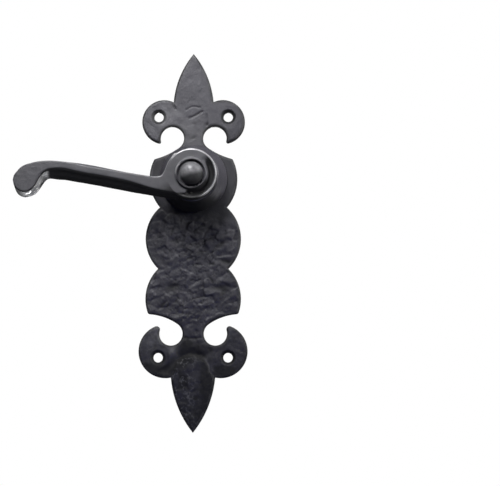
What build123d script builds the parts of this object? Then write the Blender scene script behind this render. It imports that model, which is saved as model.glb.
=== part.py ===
from build123d import *
import math
import os

# Door lever handle on a fleur-de-lis plate: cast lever on a sprung neck, conical collar, square spindle.
# Millimetres. Drawn as seen from the front: X right, Y up, Z the distance in front of the door face,
# with the spindle axis along Z. place() turns it upright: +Z up, front towards -Y, door face at y = 0.

# ---- fixing holes and plate ----
PLATE_THICK = 4.5
FIX_HALF_WIDTH = 22.0       # fixing holes, each side of the plate's axis
FIX_RISE = 39.4             # upper fixing holes above the spindle axis
LOBE_PITCH = 38.0           # spindle disc, middle lobe and lower lobe, centre to centre
FIX_BELOW_LOBE = 37.0       # lower fixing holes below the lower lobe's centre
FIX_HOLE_RADIUS = 3.0
FIX_SINK_RADIUS = 4.9
FIX_SINK_DEPTH = 1.9

DISC_RADIUS = 27.8
LOBE_RADIUS = 26.7
LOBE_OFFSET = 3.4           # each lobe is two half discs, this far from the plate's axis
TOP_CORNER_ANGLE = 27.0     # where the disc ends beside its neck
LOW_CORNER_ANGLE = 21.0     # where the lower lobe ends beside its neck
CORNER_ROUND = 1.4
NECK_SHARE = 0.75           # how far under its windows' edges a neck begins, of the window's radius
WINDOW_ENTRY = 125.0        # where a lobe's edge runs into the window, degrees round from its outer side

# Fleur-de-lis ends, measured from the fixing hole of each arm.
UPPER_ARM_RADIUS = 14.0
UPPER_ARM_IN = 3.4
UPPER_ARM_BELOW = 3.0
UPPER_WINDOW_RADIUS = 7.5
UPPER_WINDOW_IN = 8.5
UPPER_WINDOW_BELOW = 13.5
UPPER_SPIKE_LENGTH = 40.6   # fixing hole to tip
UPPER_SPIKE_HALF = 12.6
UPPER_SPIKE_BELLY = 8.6     # half width at SPIKE_BELLY_AT

LOWER_ARM_RADIUS = 16.9
LOWER_ARM_IN = 4.6
LOWER_ARM_ABOVE = 4.0
LOWER_WINDOW_RADIUS = 7.4
LOWER_WINDOW_IN = 8.0
LOWER_WINDOW_ABOVE = 15.0
LOWER_SPIKE_LENGTH = 47.0
LOWER_SPIKE_HALF = 13.8
LOWER_SPIKE_BELLY = 9.6
SPIKE_BELLY_AT = 0.65       # share of the way from the holes to the tip
UPPER_TIP_ROUND = 1.0
LOWER_TIP_ROUND = 2.0

# ---- collar and its mechanism ----
COLLAR_FOOT_WALL = 5.9      # side wall at the plate, with the cover screws in it
COLLAR_TOP_WALL = 1.7
COLLAR_HEIGHT = 18.5
COLLAR_WALL_FRONT = 3.5
COLLAR_EDGE = 0.8
LUG_HEIGHT = 2.0            # stop lugs stand this far in from the cavity wall
LUG_ANGLE = 16.0
TURN_RANGE = 45.0

NECK_RADIUS = 8.5
NECK_FLAT = 7.3             # half of the distance across the neck's two flats
BUSH_WALL = 2.0
BUSH_FLANGE = 1.0
BUSH_FLANGE_STEP = 0.6
RUN_CLEARANCE = 0.05        # turning fits, on the radius
FREE_GAP = 0.3              # between pieces of different bodies
SEAT_GAP = 0.1              # between pieces that move together

BEARING_WASHER_THICK = 0.8
BEARING_WASHER_RADIUS = 14.4
THRUST_WASHER_THICK = 1.0
CIRCLIP_THICK = 1.2
CIRCLIP_WIDTH = 2.2
CIRCLIP_GAP = 70.0          # opening of the ring, degrees
GROOVE_DEPTH = 0.9
DRIVE_WASHER_THICK = 2.2
DRIVE_WASHER_RADIUS = 11.4
TAB_ANGLE = 28.0
TAB_AT = 90.0
NECK_TAIL = 1.0             # neck past its last groove

SPRING_WIRE = 1.6
SPRING_TURNS = 3.5
SPRING_COIL_GAP = 0.1
SPRING_CLEARANCE = 0.5      # between coil and stop lugs, and in front of the coil
SPRING_INNER_GAP = 0.25     # between coil and bush flange
SPRING_LEG_HOLE = 2.2
SPRING_BEND = 1.2           # middle of the wire, from coil to leg

COVER_THICK = 1.5
COVER_RIM = 5.1             # cover beyond the cavity, all round
COVER_SCREW_RADIUS = 1.25
COVER_SCREW_HEAD = 2.3
COVER_SCREW_HEAD_DEPTH = 1.2
COVER_SCREW_GRIP = 5.0
COVER_SCREW_COUNT = 3
COVER_SCREW_WALL = 0.6      # cover left outside the screw heads
COVER_SCREW_START = 30.0
SLOT_WIDTH = 0.75

# ---- lever, cap and spindle ----
SPINDLE_SIDE = 8.0
SPINDLE_REACH = 55.0        # behind the door face
SPINDLE_CHAMFER = 0.8
SOCKET_CLEARANCE = 0.05
BOSS_RADIUS = 15.8
BOSS_DEPTH = 9.3
BOSS_RIM = 1.1
BOSS_COVE = 1.4
RING_RADIUS = 10.2
RING_HEIGHT = 1.6
CAP_RADIUS = 7.2
CAP_GROOVE = 0.8
CAP_RISE = 7.6
CAP_SIDE_SHARE = 1 / 3      # straight side, of the rise
CAP_CROWN_AT = 0.68         # the dome's shoulder: radius, of the cap's
CAP_CROWN_DROP = 0.22       # and height below the apex, of the rise
CAP_SPIGOT_RADIUS = 2.5
SOCKET_ROOF = 2.6
GRUB_RADIUS = 2.5
GRUB_SOCKET = 1.45
GRUB_SUNK = 1.4
HEX_DEPTH = 2.5

LEVER_REACH = 110.4         # spindle axis to the lever's end
ARM_ROOT_TOP = -1.2         # arm edges where it leaves the boss
ARM_ROOT_LOW = -13.0
CREST_HEIGHT = 8.6          # highest point, near the end
CREST_FROM_END = 23.3
ARM_THICK = 11.5            # arm, top to bottom, at the crest
LOBE_DROP = 13.8            # lowest point of the curled end, below the spindle axis
LOBE_FROM_END = 6.8         # that point, from the lever's end
NOSE_SHARE = 0.27           # the lever's outermost point is this share of LOBE_DROP down
THROAT_PAST_CREST = 2.0     # where the curled end meets the arm's underside
THROAT_RISE = 0.6
UNDER_BEFORE_CREST = 6.0
ARM_ROOT_SHARE = 0.45       # where the underside ends, of the boss radius

# ---- worked out from the sizes above ----
HOLE_Y_UPPER = FIX_RISE
HOLE_Y_LOWER = -(2 * LOBE_PITCH + FIX_BELOW_LOBE)
COLLAR_FRONT = PLATE_THICK + COLLAR_HEIGHT
CAVITY_END = COLLAR_FRONT - COLLAR_WALL_FRONT
BUSH_BACK = CAVITY_END - BUSH_FLANGE
BUSH_RADIUS = NECK_RADIUS + RUN_CLEARANCE + BUSH_WALL
THRUST_BACK = BUSH_BACK - THRUST_WASHER_THICK
FRONT_CIRCLIP_BACK = THRUST_BACK - FREE_GAP - CIRCLIP_THICK
FLANGE_RADIUS = BUSH_RADIUS + BUSH_FLANGE_STEP
SPRING_RADIUS = FLANGE_RADIUS + SPRING_INNER_GAP + SPRING_WIRE / 2
LUG_RADIUS = SPRING_RADIUS + SPRING_WIRE / 2 + SPRING_CLEARANCE
CAVITY_RADIUS = LUG_RADIUS + LUG_HEIGHT
COLLAR_FOOT_RADIUS = CAVITY_RADIUS + COLLAR_FOOT_WALL
COLLAR_TOP_RADIUS = CAVITY_RADIUS + COLLAR_TOP_WALL
COVER_RADIUS = CAVITY_RADIUS + COVER_RIM
SPRING_PITCH = SPRING_WIRE + SPRING_COIL_GAP
SPRING_FRONT = CAVITY_END - SPRING_BEND - SPRING_CLEARANCE
SPRING_BACK = SPRING_FRONT - SPRING_PITCH * SPRING_TURNS
DRIVE_FRONT = SPRING_BACK - SPRING_BEND - SEAT_GAP
DRIVE_BACK = DRIVE_FRONT - DRIVE_WASHER_THICK
REAR_CIRCLIP_BACK = DRIVE_BACK - SEAT_GAP - CIRCLIP_THICK
NECK_BACK = REAR_CIRCLIP_BACK - NECK_TAIL
BOSS_BACK = COLLAR_FRONT + BEARING_WASHER_THICK + FREE_GAP
BOSS_FRONT = BOSS_BACK + BOSS_DEPTH
RING_FRONT = BOSS_FRONT + RING_HEIGHT
CAP_SEAT = BOSS_FRONT - BOSS_COVE / 2
SOCKET_FRONT = CAP_SEAT - SOCKET_ROOF
GRUB_AT = (BOSS_BACK + BOSS_FRONT) / 2
COVER_SCREW_PITCH = COVER_RADIUS - COVER_SCREW_WALL - COVER_SCREW_HEAD


def place(shape):
    """Turn a shape from the front-view frame to the upright one."""
    return shape.moved(Plane.XZ.location)


def disc(radius, low, high, centre=(0, 0)):
    return Pos(centre[0], centre[1], (low + high) / 2) * Cylinder(radius, high - low)


def ring(outer, inner, low, high):
    return disc(outer, low, high) - disc(inner, low, high)


def bar(side_x, side_y, low, high):
    return Pos(0, 0, (low + high) / 2) * Box(side_x, side_y, high - low)


def slab(face, low, high):
    return extrude(Pos(0, 0, low) * face, amount=high - low)


def wedge(outer, inner, low, high, start, angle):
    """Part of a ring, from the angle start on, anticlockwise as seen from the front."""
    reach = 2 * outer
    a, b, c = (math.radians(start + angle * share) for share in (0, 0.5, 1))
    corners = [(reach * math.cos(t), reach * math.sin(t)) for t in (a, b, c)]
    sector = make_face(Polyline((0, 0), *corners, close=True))
    return ring(outer, inner, low, high) & slab(sector, low, high)


def polar(radius, degrees):
    angle = math.radians(degrees)
    return (radius * math.cos(angle), radius * math.sin(angle))


def fixing_holes():
    return [(side * FIX_HALF_WIDTH, y) for y in (HOLE_Y_UPPER, HOLE_Y_LOWER) for side in (-1, 1)]


def cover_screw_places():
    step = 360 / COVER_SCREW_COUNT
    return [polar(COVER_SCREW_PITCH, COVER_SCREW_START + step * n) for n in range(COVER_SCREW_COUNT)]


def round_at(x, y, radius):
    """Discs on both sides of the plate's axis."""
    return Pos(x, y) * Circle(radius) + Pos(-x, y) * Circle(radius)


def both_sides(face):
    return face + mirror(face, Plane.YZ)


def spike(root_y, length, half, belly, way):
    """A leaf from the fixing holes' height to its tip; way is 1 up, -1 down."""
    tip = (0, root_y + way * length)
    middle_y = root_y + way * length * SPIKE_BELLY_AT
    right = ThreePointArc((half, root_y), (belly, middle_y), tip)
    left = ThreePointArc(tip, (-belly, middle_y), (-half, root_y))
    return make_face(Curve() + [right, left, Line((-half, root_y), (half, root_y))])


def shoulder_cut(corner, window, window_radius, way, outside_y):
    """What is taken off a lobe beside the neck: its edge runs from the lobe's corner into the window's;
    way is 1 where the window is below the lobe, -1 where it is above."""
    entry = way * WINDOW_ENTRY
    reach = polar(window_radius, entry)
    foot = (window[0] + reach[0], window[1] + reach[1])
    far = (corner[0] + DISC_RADIUS, corner[1])
    edge = TangentArc(foot, corner, tangent=polar(1, entry - way * 90))
    rest = Polyline(corner, far, (far[0], outside_y), (foot[0], outside_y), foot)
    return both_sides(make_face(Curve() + [edge, rest]))


def lobe(centre_y):
    sides = round_at(LOBE_OFFSET, centre_y, LOBE_RADIUS)
    return sides + Pos(0, centre_y) * Rectangle(2 * LOBE_OFFSET, 2 * LOBE_RADIUS)


def nearest_corners(face, spots):
    """The outline's corners nearest to the given places, on both sides of the plate's axis."""
    both = [(side * x, y) for x, y in spots for side in (-1, 1)]
    return [face.vertices().sort_by_distance((x, y, 0))[0] for x, y in both]


def plate_outline():
    upper_arm = (FIX_HALF_WIDTH - UPPER_ARM_IN, HOLE_Y_UPPER - UPPER_ARM_BELOW)
    lower_arm = (FIX_HALF_WIDTH - LOWER_ARM_IN, HOLE_Y_LOWER + LOWER_ARM_ABOVE)
    upper_window = (FIX_HALF_WIDTH - UPPER_WINDOW_IN, HOLE_Y_UPPER - UPPER_WINDOW_BELOW)
    lower_window = (FIX_HALF_WIDTH - LOWER_WINDOW_IN, HOLE_Y_LOWER + LOWER_WINDOW_ABOVE)

    top_corner = polar(DISC_RADIUS, TOP_CORNER_ANGLE)
    cut = shoulder_cut(top_corner, upper_window, UPPER_WINDOW_RADIUS, -1, DISC_RADIUS + UPPER_ARM_RADIUS)
    top = Circle(DISC_RADIUS) - cut
    neck_half = upper_window[0] - NECK_SHARE * UPPER_WINDOW_RADIUS
    top += Pos(0, HOLE_Y_UPPER / 2) * Rectangle(2 * neck_half, HOLE_Y_UPPER)

    lobe_y = -2 * LOBE_PITCH
    low_x, low_y = polar(LOBE_RADIUS, -LOW_CORNER_ANGLE)
    low_corner = (LOBE_OFFSET + low_x, lobe_y + low_y)
    cut = shoulder_cut(low_corner, lower_window, LOWER_WINDOW_RADIUS, 1, HOLE_Y_LOWER)
    bottom = lobe(lobe_y) - cut
    neck_half = lower_window[0] - NECK_SHARE * LOWER_WINDOW_RADIUS
    bottom += Pos(0, (lobe_y + HOLE_Y_LOWER) / 2) * Rectangle(2 * neck_half, lobe_y - HOLE_Y_LOWER)

    outline = top + lobe(-LOBE_PITCH) + bottom
    outline += round_at(*upper_arm, UPPER_ARM_RADIUS) + round_at(*lower_arm, LOWER_ARM_RADIUS)
    outline += spike(HOLE_Y_UPPER, UPPER_SPIKE_LENGTH, UPPER_SPIKE_HALF, UPPER_SPIKE_BELLY, 1)
    outline += spike(HOLE_Y_LOWER, LOWER_SPIKE_LENGTH, LOWER_SPIKE_HALF, LOWER_SPIKE_BELLY, -1)
    outline -= round_at(*upper_window, UPPER_WINDOW_RADIUS)
    outline -= round_at(*lower_window, LOWER_WINDOW_RADIUS)

    upper_tip = (upper_window[0] + UPPER_WINDOW_RADIUS, upper_arm[1] - UPPER_ARM_RADIUS)
    lower_tip = (lower_window[0] + LOWER_WINDOW_RADIUS / 2, lower_arm[1] + LOWER_ARM_RADIUS)
    outline = fillet(nearest_corners(outline, [upper_tip]), UPPER_TIP_ROUND)
    outline = fillet(nearest_corners(outline, [lower_tip]), LOWER_TIP_ROUND)
    return fillet(nearest_corners(outline, [top_corner, low_corner]), CORNER_ROUND)


def turned(*profile):
    """A body of revolution about the spindle axis, from (radius, depth) corners."""
    return revolve(Plane.XZ * make_face(Polyline(*profile, close=True)), Axis.Z)


def double_flat(radius, half_flat, low, high):
    """A round bar with two flats, above and below."""
    return disc(radius, low, high) & bar(2 * radius, 2 * half_flat, low, high)


def backplate():
    body = slab(plate_outline(), 0, PLATE_THICK)
    body -= disc(CAVITY_RADIUS, 0, PLATE_THICK)
    body -= disc(COVER_RADIUS + SEAT_GAP, 0, COVER_THICK)
    for x, y in fixing_holes():
        sink = Cone(FIX_HOLE_RADIUS, FIX_SINK_RADIUS, FIX_SINK_DEPTH)
        body -= disc(FIX_HOLE_RADIUS, 0, PLATE_THICK, (x, y))
        body -= Pos(x, y, PLATE_THICK - FIX_SINK_DEPTH / 2) * sink
    for spot in cover_screw_places():
        body -= disc(COVER_SCREW_RADIUS, 0, PLATE_THICK, spot)
    return body


def collar():
    """Conical housing: two stop lugs, three tapped holes, a blind hole for the spring's leg."""
    shell = turned((0, PLATE_THICK), (COLLAR_FOOT_RADIUS, PLATE_THICK),
                   (COLLAR_TOP_RADIUS + COLLAR_EDGE / 2, COLLAR_FRONT - COLLAR_EDGE),
                   (COLLAR_TOP_RADIUS - COLLAR_EDGE / 2, COLLAR_FRONT), (0, COLLAR_FRONT))
    shell -= disc(CAVITY_RADIUS, PLATE_THICK, CAVITY_END)
    shell -= disc(BUSH_RADIUS, CAVITY_END, COLLAR_FRONT)
    half_tab = TAB_ANGLE / 2
    clear = math.degrees(FREE_GAP / LUG_RADIUS)
    rest_stop = TAB_AT - half_tab - clear - LUG_ANGLE
    end_stop = TAB_AT + half_tab + TURN_RANGE + clear
    lug_root = CAVITY_RADIUS + LUG_HEIGHT / 4
    for start in (rest_stop, end_stop):
        shell += wedge(lug_root, LUG_RADIUS, DRIVE_BACK, CAVITY_END, start, LUG_ANGLE)
    for spot in cover_screw_places():
        shell -= disc(COVER_SCREW_RADIUS, PLATE_THICK, PLATE_THICK + COVER_SCREW_GRIP, spot)
    leg = spring_leg(TAB_AT - 360 * SPRING_TURNS, 1)
    shell -= disc(SPRING_WIRE / 2 + SEAT_GAP, CAVITY_END, CAVITY_END + SPRING_LEG_HOLE, leg)
    return shell


def collar_bush():
    bore = NECK_RADIUS + RUN_CLEARANCE
    flange = ring(FLANGE_RADIUS, bore, BUSH_BACK, CAVITY_END)
    return flange + ring(BUSH_RADIUS, bore, CAVITY_END, COLLAR_FRONT)


def bearing_washer():
    inner = NECK_RADIUS + FREE_GAP
    return ring(BEARING_WASHER_RADIUS, inner, COLLAR_FRONT, COLLAR_FRONT + BEARING_WASHER_THICK)


def thrust_washer():
    return ring(BUSH_RADIUS, NECK_RADIUS + FREE_GAP, THRUST_BACK, BUSH_BACK)


def circlip(back):
    inner = NECK_RADIUS - GROOVE_DEPTH
    front = back + CIRCLIP_THICK
    start = 270 - CIRCLIP_GAP / 2
    whole = ring(inner + CIRCLIP_WIDTH, inner, back, front)
    opening = wedge(2 * NECK_RADIUS, inner / 2, back, front, start, CIRCLIP_GAP)
    return whole - opening


def circlips():
    return circlip(FRONT_CIRCLIP_BACK) + circlip(REAR_CIRCLIP_BACK)


def spring_leg(turned_by, way):
    """Where a leg runs: past the coil's end by the bend, along the wire; way is 1 in front, -1 behind."""
    x, y = polar(SPRING_RADIUS, turned_by)
    along = polar(way * SPRING_BEND, turned_by - 90)
    return (x + along[0], y + along[1])


def bent_leg(coil_end, along, axial, length):
    """A bend from the coil's direction to the axial one, and a straight leg."""
    square = (axial - along * axial.dot(along)).normalized()
    corner = math.acos(along.dot(axial))
    points = [coil_end + along * (SPRING_BEND * math.sin(t)) + square * (SPRING_BEND * (1 - math.cos(t)))
              for t in (corner / 2, corner)]
    return [ThreePointArc(coil_end, *points), Line(points[1], points[1] + axial * length)]


def return_spring():
    """Torsion coil: rear leg in the drive washer's tab, front leg in the collar's front wall."""
    coil = Helix(SPRING_PITCH, SPRING_PITCH * SPRING_TURNS, SPRING_RADIUS, lefthand=True)
    coil = Pos(0, 0, SPRING_BACK) * Rot(0, 0, TAB_AT) * coil
    rear_length = SPRING_BACK - SPRING_BEND - DRIVE_BACK - SEAT_GAP
    front_length = CAVITY_END + SPRING_LEG_HOLE - SEAT_GAP - SPRING_FRONT - SPRING_BEND
    rear = bent_leg(coil @ 0, -(coil % 0), Vector(0, 0, -1), rear_length)
    front = bent_leg(coil @ 1, coil % 1, Vector(0, 0, 1), front_length)
    wire = Wire([rear[1], rear[0], coil.edge(), *front])
    return sweep(Plane(origin=wire @ 0, z_dir=wire % 0) * Circle(SPRING_WIRE / 2), path=wire)


def drive_washer():
    """Keyed on the neck's flats; its tab swings between the collar's lugs and holds the spring's leg."""
    body = disc(DRIVE_WASHER_RADIUS, DRIVE_BACK, DRIVE_FRONT)
    tip = CAVITY_RADIUS - FREE_GAP
    body += wedge(tip, NECK_RADIUS, DRIVE_BACK, DRIVE_FRONT, TAB_AT - TAB_ANGLE / 2, TAB_ANGLE)
    body -= double_flat(NECK_RADIUS + RUN_CLEARANCE, NECK_FLAT + RUN_CLEARANCE, DRIVE_BACK, DRIVE_FRONT)
    body -= disc(SPRING_WIRE / 2 + SEAT_GAP, DRIVE_BACK, DRIVE_FRONT, spring_leg(TAB_AT, -1))
    return body


def cover_plate():
    body = ring(COVER_RADIUS, SPINDLE_SIDE * math.sqrt(0.5) + FREE_GAP * 2, 0, COVER_THICK)
    for x, y in cover_screw_places():
        body -= Pos(x, y, COVER_SCREW_HEAD_DEPTH / 2) * screw_head()
        body -= disc(COVER_SCREW_RADIUS, 0, COVER_THICK, (x, y))
    return body


def screw_head():
    return Cone(COVER_SCREW_HEAD, COVER_SCREW_RADIUS, COVER_SCREW_HEAD_DEPTH)


def cover_screws():
    """Countersunk screws with a plain slot, heads flush with the back."""
    screws = []
    for x, y in cover_screw_places():
        body = Pos(x, y, COVER_SCREW_HEAD_DEPTH / 2) * screw_head()
        tip = PLATE_THICK + COVER_SCREW_GRIP - SEAT_GAP
        body += disc(COVER_SCREW_RADIUS, COVER_SCREW_HEAD_DEPTH, tip, (x, y))
        slot_depth = COVER_SCREW_HEAD_DEPTH / 2
        body -= Pos(x, y, slot_depth / 2) * Box(3 * COVER_SCREW_HEAD, SLOT_WIDTH, slot_depth)
        screws.append(body)
    return Part() + screws


def arm_outline():
    """The arm rises to a crest near its end, then curls over into a drooping round end."""
    crest = (CREST_FROM_END - LEVER_REACH, CREST_HEIGHT)
    end = (-LEVER_REACH, -NOSE_SHARE * LOBE_DROP)
    lobe_low = (LOBE_FROM_END - LEVER_REACH, -LOBE_DROP)
    throat = (crest[0] - THROAT_PAST_CREST, crest[1] - ARM_THICK + THROAT_RISE)
    under = (crest[0] + UNDER_BEFORE_CREST, crest[1] - ARM_THICK)
    root_top = (-BOSS_RADIUS, ARM_ROOT_TOP)
    root_low = (-ARM_ROOT_SHARE * BOSS_RADIUS, ARM_ROOT_LOW)
    top = Spline(root_top, crest, tangents=[(-1, 0.02), (-1, 0)])
    nose = Spline(crest, end, tangents=[(-1, 0), (0, -1)])
    chin = Spline(end, lobe_low, tangents=[(0, -1), (1, -0.1)])
    curl = Spline(lobe_low, throat, under, tangents=[(1, 0.1), (1, -0.02)])
    low = Spline(under, root_low, tangents=[(1, -0.02), (1, -0.12)])
    back = Polyline(root_low, (0, 0), root_top)
    return make_face(Curve() + [top, nose, chin, curl, low, back])


def lever():
    edge = BOSS_RADIUS - BOSS_RIM / 2
    cove = RING_RADIUS + BOSS_COVE / 2
    cove_back = BOSS_FRONT - BOSS_COVE
    cap_pocket = CAP_RADIUS + CAP_GROOVE
    boss = turned((0, BOSS_BACK), (edge, BOSS_BACK), (BOSS_RADIUS, BOSS_BACK + BOSS_RIM),
                  (BOSS_RADIUS, BOSS_FRONT - BOSS_RIM / 2), (edge, BOSS_FRONT),
                  (BOSS_RADIUS - BOSS_RIM, BOSS_FRONT), (cove, cove_back), (RING_RADIUS, RING_FRONT),
                  (cap_pocket, RING_FRONT), (cap_pocket, CAP_SEAT), (0, CAP_SEAT))
    arm = slab(arm_outline(), BOSS_BACK, BOSS_FRONT) - disc(RING_RADIUS, cove_back, BOSS_FRONT)
    body = boss + arm + disc(NECK_RADIUS, DRIVE_FRONT, BOSS_BACK)
    body += double_flat(NECK_RADIUS, NECK_FLAT, NECK_BACK, DRIVE_FRONT)
    for back in (FRONT_CIRCLIP_BACK, REAR_CIRCLIP_BACK):
        low = back - SEAT_GAP / 2
        body -= ring(2 * NECK_RADIUS, NECK_RADIUS - GROOVE_DEPTH, low, low + CIRCLIP_THICK + SEAT_GAP)
    socket = SPINDLE_SIDE + 2 * SOCKET_CLEARANCE
    body -= bar(socket, socket, NECK_BACK, SOCKET_FRONT)
    body -= disc(CAP_SPIGOT_RADIUS, SOCKET_FRONT, CAP_SEAT)
    body -= Pos(0, -BOSS_RADIUS / 2, GRUB_AT) * Rot(90, 0, 0) * Cylinder(GRUB_RADIUS, BOSS_RADIUS)
    return body


def domed_cap():
    side_top = CAP_SEAT + CAP_SIDE_SHARE * CAP_RISE
    apex = CAP_SEAT + CAP_RISE
    side = Line((CAP_RADIUS, CAP_SEAT), (CAP_RADIUS, side_top))
    crown = (CAP_CROWN_AT * CAP_RADIUS, apex - CAP_CROWN_DROP * CAP_RISE)
    dome = Spline((CAP_RADIUS, side_top), crown, (0, apex), tangents=[(0, 1), (-1, 0)])
    rest = Polyline((0, apex), (0, CAP_SEAT), (CAP_RADIUS, CAP_SEAT))
    body = revolve(Plane.XZ * make_face(Curve() + [side, dome, rest]), Axis.Z)
    return body + disc(CAP_SPIGOT_RADIUS, SOCKET_FRONT + SEAT_GAP, CAP_SEAT)


def grub_screw():
    """Cup-point screw from below, bearing on the spindle's lower flat."""
    top = -SPINDLE_SIDE / 2
    low = -(BOSS_RADIUS - GRUB_SUNK)
    body = Pos(0, (top + low) / 2, GRUB_AT) * Rot(90, 0, 0) * Cylinder(GRUB_RADIUS, top - low)
    key = extrude(RegularPolygon(GRUB_SOCKET, 6), amount=HEX_DEPTH)
    return body - Pos(0, low, GRUB_AT) * Rot(-90, 0, 0) * key


def spindle():
    body = bar(SPINDLE_SIDE, SPINDLE_SIDE, -SPINDLE_REACH, SOCKET_FRONT - FREE_GAP)
    rear = body.faces().sort_by(Axis.Z)[0]
    return chamfer(rear.edges(), SPINDLE_CHAMFER)


NODES = {
    "backplate": backplate, "collar": collar, "collar_bush": collar_bush,
    "bearing_washer": bearing_washer, "thrust_washer": thrust_washer, "return_spring": return_spring,
    "cover_plate": cover_plate, "cover_screws": cover_screws, "lever": lever, "domed_cap": domed_cap,
    "grub_screw": grub_screw, "circlips": circlips, "drive_washer": drive_washer, "spindle": spindle,
}

os.makedirs("parts", exist_ok=True)
for name, make in NODES.items():
    export_step(place(make()), f"parts/{name}.step")
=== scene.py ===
import math
import random

import bmesh
import bpy
import numpy as np
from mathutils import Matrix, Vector, geometry, noise


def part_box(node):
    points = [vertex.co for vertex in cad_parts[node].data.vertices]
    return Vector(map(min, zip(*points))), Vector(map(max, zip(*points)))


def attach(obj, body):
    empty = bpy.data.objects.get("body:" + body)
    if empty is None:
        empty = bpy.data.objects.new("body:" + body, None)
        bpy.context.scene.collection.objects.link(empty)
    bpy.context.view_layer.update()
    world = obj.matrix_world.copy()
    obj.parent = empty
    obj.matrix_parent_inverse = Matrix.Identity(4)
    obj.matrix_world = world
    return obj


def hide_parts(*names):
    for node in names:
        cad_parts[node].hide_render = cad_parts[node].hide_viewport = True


# Black cast-iron door lever handle. Shapes are worked out in millimetres as seen from the front:
# x right, z up, depth the distance in front of the door face, so a point is (x, -depth, z) in the frame.
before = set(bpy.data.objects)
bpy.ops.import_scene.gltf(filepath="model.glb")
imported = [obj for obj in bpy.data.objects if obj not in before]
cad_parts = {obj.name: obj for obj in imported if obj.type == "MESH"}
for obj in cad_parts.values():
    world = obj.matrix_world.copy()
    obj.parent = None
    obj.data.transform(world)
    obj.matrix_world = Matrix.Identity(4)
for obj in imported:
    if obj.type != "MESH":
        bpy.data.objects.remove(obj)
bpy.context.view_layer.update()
MM = 0.001
random.seed(7)


def node_box(name):
    """Lowest and highest corner of a CAD node, in millimetres."""
    low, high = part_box(name)
    return np.array(low) / MM, np.array(high) / MM


PLATE_LOW, PLATE_HIGH = node_box("backplate")
COLLAR_LOW, COLLAR_HIGH = node_box("collar")
LEVER_LOW, LEVER_HIGH = node_box("lever")
CAP_LOW, CAP_HIGH = node_box("domed_cap")
COVER_LOW, COVER_HIGH = node_box("cover_plate")
WASHER_LOW = node_box("bearing_washer")[0]

PLATE_THICK = -PLATE_LOW[1]
BOSS_RADIUS = LEVER_HIGH[0]
WASHER_GAP = 0.3
BOSS_BACK = -WASHER_LOW[1] + WASHER_GAP
RING_FRONT = -LEVER_LOW[1]
RING_HEIGHT = 1.6
BOSS_FRONT = RING_FRONT - RING_HEIGHT
REACH = -LEVER_LOW[0]


# ---------------------------------------------------------------- small tools
def smooth_step(low, high, value):
    t = np.clip((value - low) / (high - low), 0.0, 1.0)
    return t * t * (3 - 2 * t)


def spline(points, count):
    """Evenly spaced points along a Catmull-Rom curve through the given ones."""
    pts = np.array(points, float)
    ends = np.vstack([2 * pts[0] - pts[1], pts, 2 * pts[-1] - pts[-2]])
    dense = []
    for a, b, c, d in zip(ends, ends[1:], ends[2:], ends[3:]):
        t = np.linspace(0, 1, 24, endpoint=False)[:, None]
        dense.append(0.5 * (2 * b + (c - a) * t + (2 * a - 5 * b + 4 * c - d) * t ** 2
                            + (3 * b - a - 3 * c + d) * t ** 3))
    dense = np.vstack(dense + [pts[-1:]])
    length = np.concatenate([[0], np.cumsum(np.linalg.norm(np.diff(dense, axis=0), axis=1))])
    at = np.linspace(0, length[-1], count)
    return np.column_stack([np.interp(at, length, dense[:, k]) for k in range(dense.shape[1])])


def fractal(points, scale, octaves=4, seed=0.0):
    """Fractal noise, about -1 to 1, at each point; scale is the size of its largest lumps."""
    return np.array([noise.fractal(Vector(p) / scale + Vector((seed, seed, seed)), 1.0, 2.0, octaves)
                     for p in points])


def mesh_object(name, verts_mm, faces):
    mesh = bpy.data.meshes.new(name)
    mesh.from_pydata([tuple(v) for v in np.asarray(verts_mm, float) * MM], [], [tuple(f) for f in faces])
    mesh.validate()
    piece = bpy.data.objects.new(name, mesh)
    bpy.context.collection.objects.link(piece)
    bm = bmesh.new()
    bm.from_mesh(mesh)
    bmesh.ops.recalc_face_normals(bm, faces=bm.faces)
    bm.to_mesh(mesh)
    bm.free()
    for face in mesh.polygons:
        face.use_smooth = True
    return piece


def from_front(x, z, depth):
    return np.column_stack([x, -np.broadcast_to(depth, np.shape(x)), z])


def loft(loops):
    """Vertices and quads of a tube through closed loops of equal length, capped at both ends."""
    count = len(loops[0])
    faces = []
    for level in range(len(loops) - 1):
        a, b = level * count, (level + 1) * count
        for i in range(count):
            j = (i + 1) % count
            faces.append((a + i, a + j, b + j, b + i))
    faces.append(tuple(range(count)))
    last = (len(loops) - 1) * count
    faces.append(tuple(last + i for i in reversed(range(count))))
    return np.vstack(loops), faces


def spun(name, profile, segments=160, shape=None):
    """A body turned about the spindle axis from (radius, depth) points; shape may change the depths."""
    angles = np.linspace(0, 2 * math.pi, segments, endpoint=False)
    loops = []
    for radius, depth in profile:
        depths = np.full(segments, depth) if shape is None else shape(radius, depth, angles)
        loops.append(from_front(radius * np.cos(angles), radius * np.sin(angles), depths))
    verts, faces = loft(loops)
    return mesh_object(name, verts, faces)


def join(name, pieces):
    bpy.ops.object.select_all(action="DESELECT")
    for piece in pieces:
        piece.select_set(True)
    bpy.context.view_layer.objects.active = pieces[0]
    bpy.ops.object.join()
    pieces[0].name = name
    return pieces[0]


def apply_modifiers(piece):
    graph = bpy.context.evaluated_depsgraph_get()
    mesh = bpy.data.meshes.new_from_object(piece.evaluated_get(graph))
    piece.modifiers.clear()
    piece.data = mesh
    return piece


def remesh(piece, voxel_mm, smooth_rounds):
    """One closed skin over everything in the piece, with its edges softened as a casting's are."""
    voxel = piece.modifiers.new("voxels", "REMESH")
    voxel.mode = "VOXEL"
    voxel.voxel_size = voxel_mm * MM
    voxel.use_smooth_shade = True
    soften = piece.modifiers.new("soften", "SMOOTH")
    soften.factor = 0.5
    soften.iterations = smooth_rounds
    return apply_modifiers(piece)


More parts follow.
